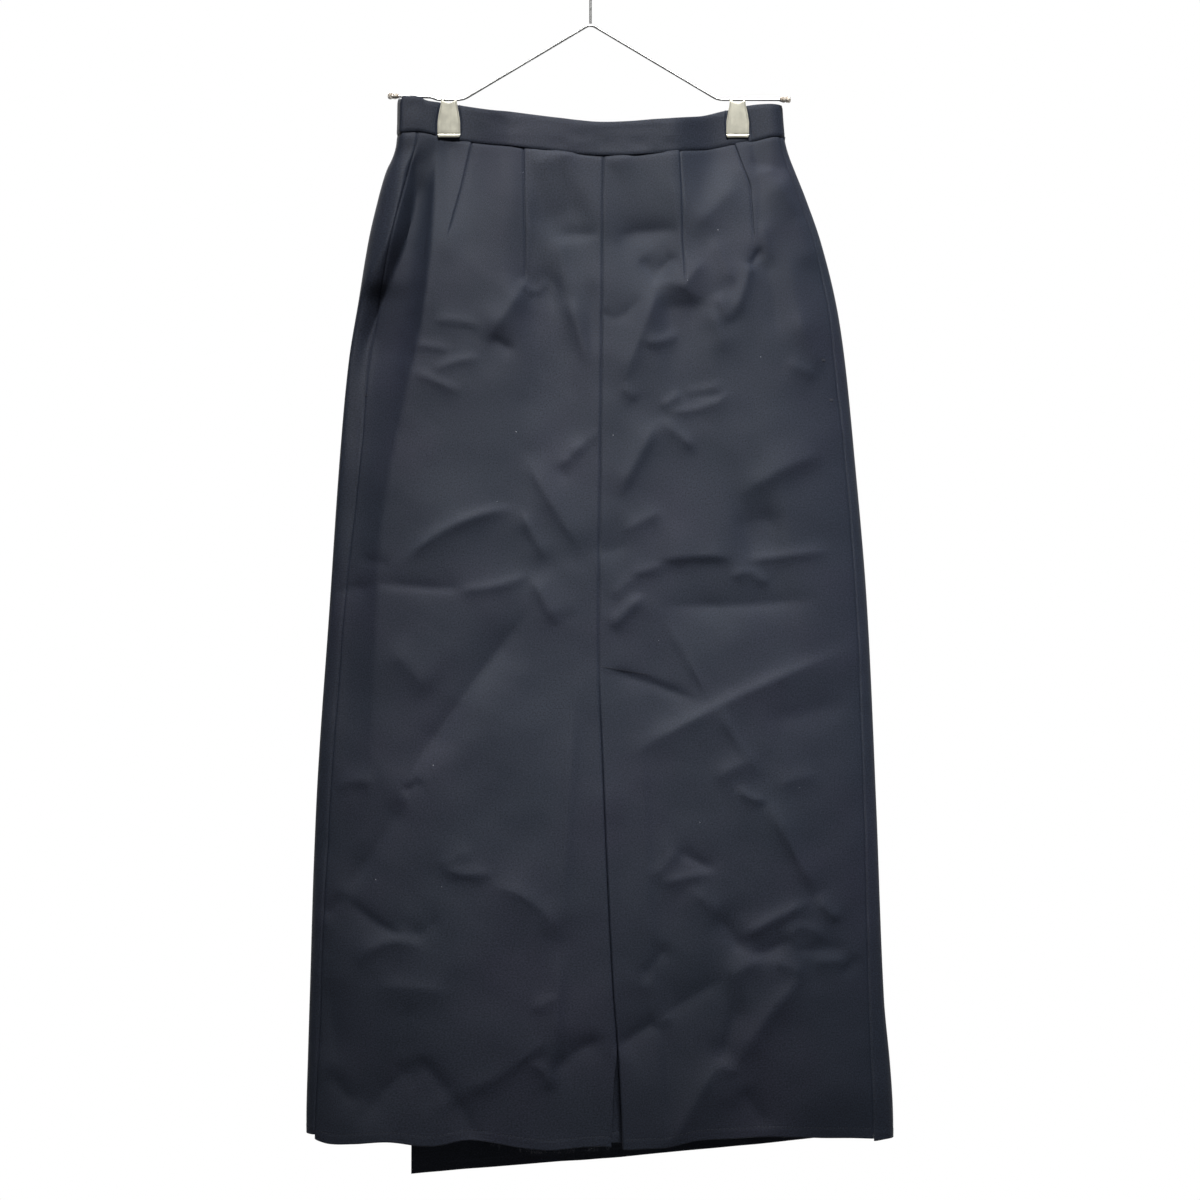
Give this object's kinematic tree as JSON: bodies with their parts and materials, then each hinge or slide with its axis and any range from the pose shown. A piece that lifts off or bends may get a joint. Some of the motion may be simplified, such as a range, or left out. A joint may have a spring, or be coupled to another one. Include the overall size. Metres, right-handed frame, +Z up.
{
  "type": "wrap skirt on clip hanger",
  "caption": "Long navy wrap skirt with a plain waistband, back darts and a centre back vent, clipped by its waist to a wire hanger.",
  "frame": {"origin": "top of the inside of the hanger's hook, where the rail carries it", "axes": "+Z up; -Y out of the skirt's back; +X towards the wearer's right, across the back"},
  "size_m": [0.5245, 0.0728, 1.1076],
  "materials": {
    "gabardine": "dark navy twill gabardine with a faint sheen",
    "steel_wire": "bright drawn steel wire",
    "nickel": "satin nickel plate",
    "vinyl": "milky, slightly yellowed vinyl"
  },
  "bodies": {
    "root": {"back_left_panel": "gabardine", "back_right_panel": "gabardine", "vent_underlap": "gabardine", "front_wrap_panel": "gabardine", "front_under_panel": "gabardine", "waistband": "gabardine", "waist_hook": "nickel", "waist_bar": "nickel", "hanger_wire": "steel_wire", "hanger_hook": "steel_wire", "cap_left": "vinyl", "cap_right": "vinyl", "clip_left": "nickel", "clip_right": "nickel"}
  },
  "joints": []
}
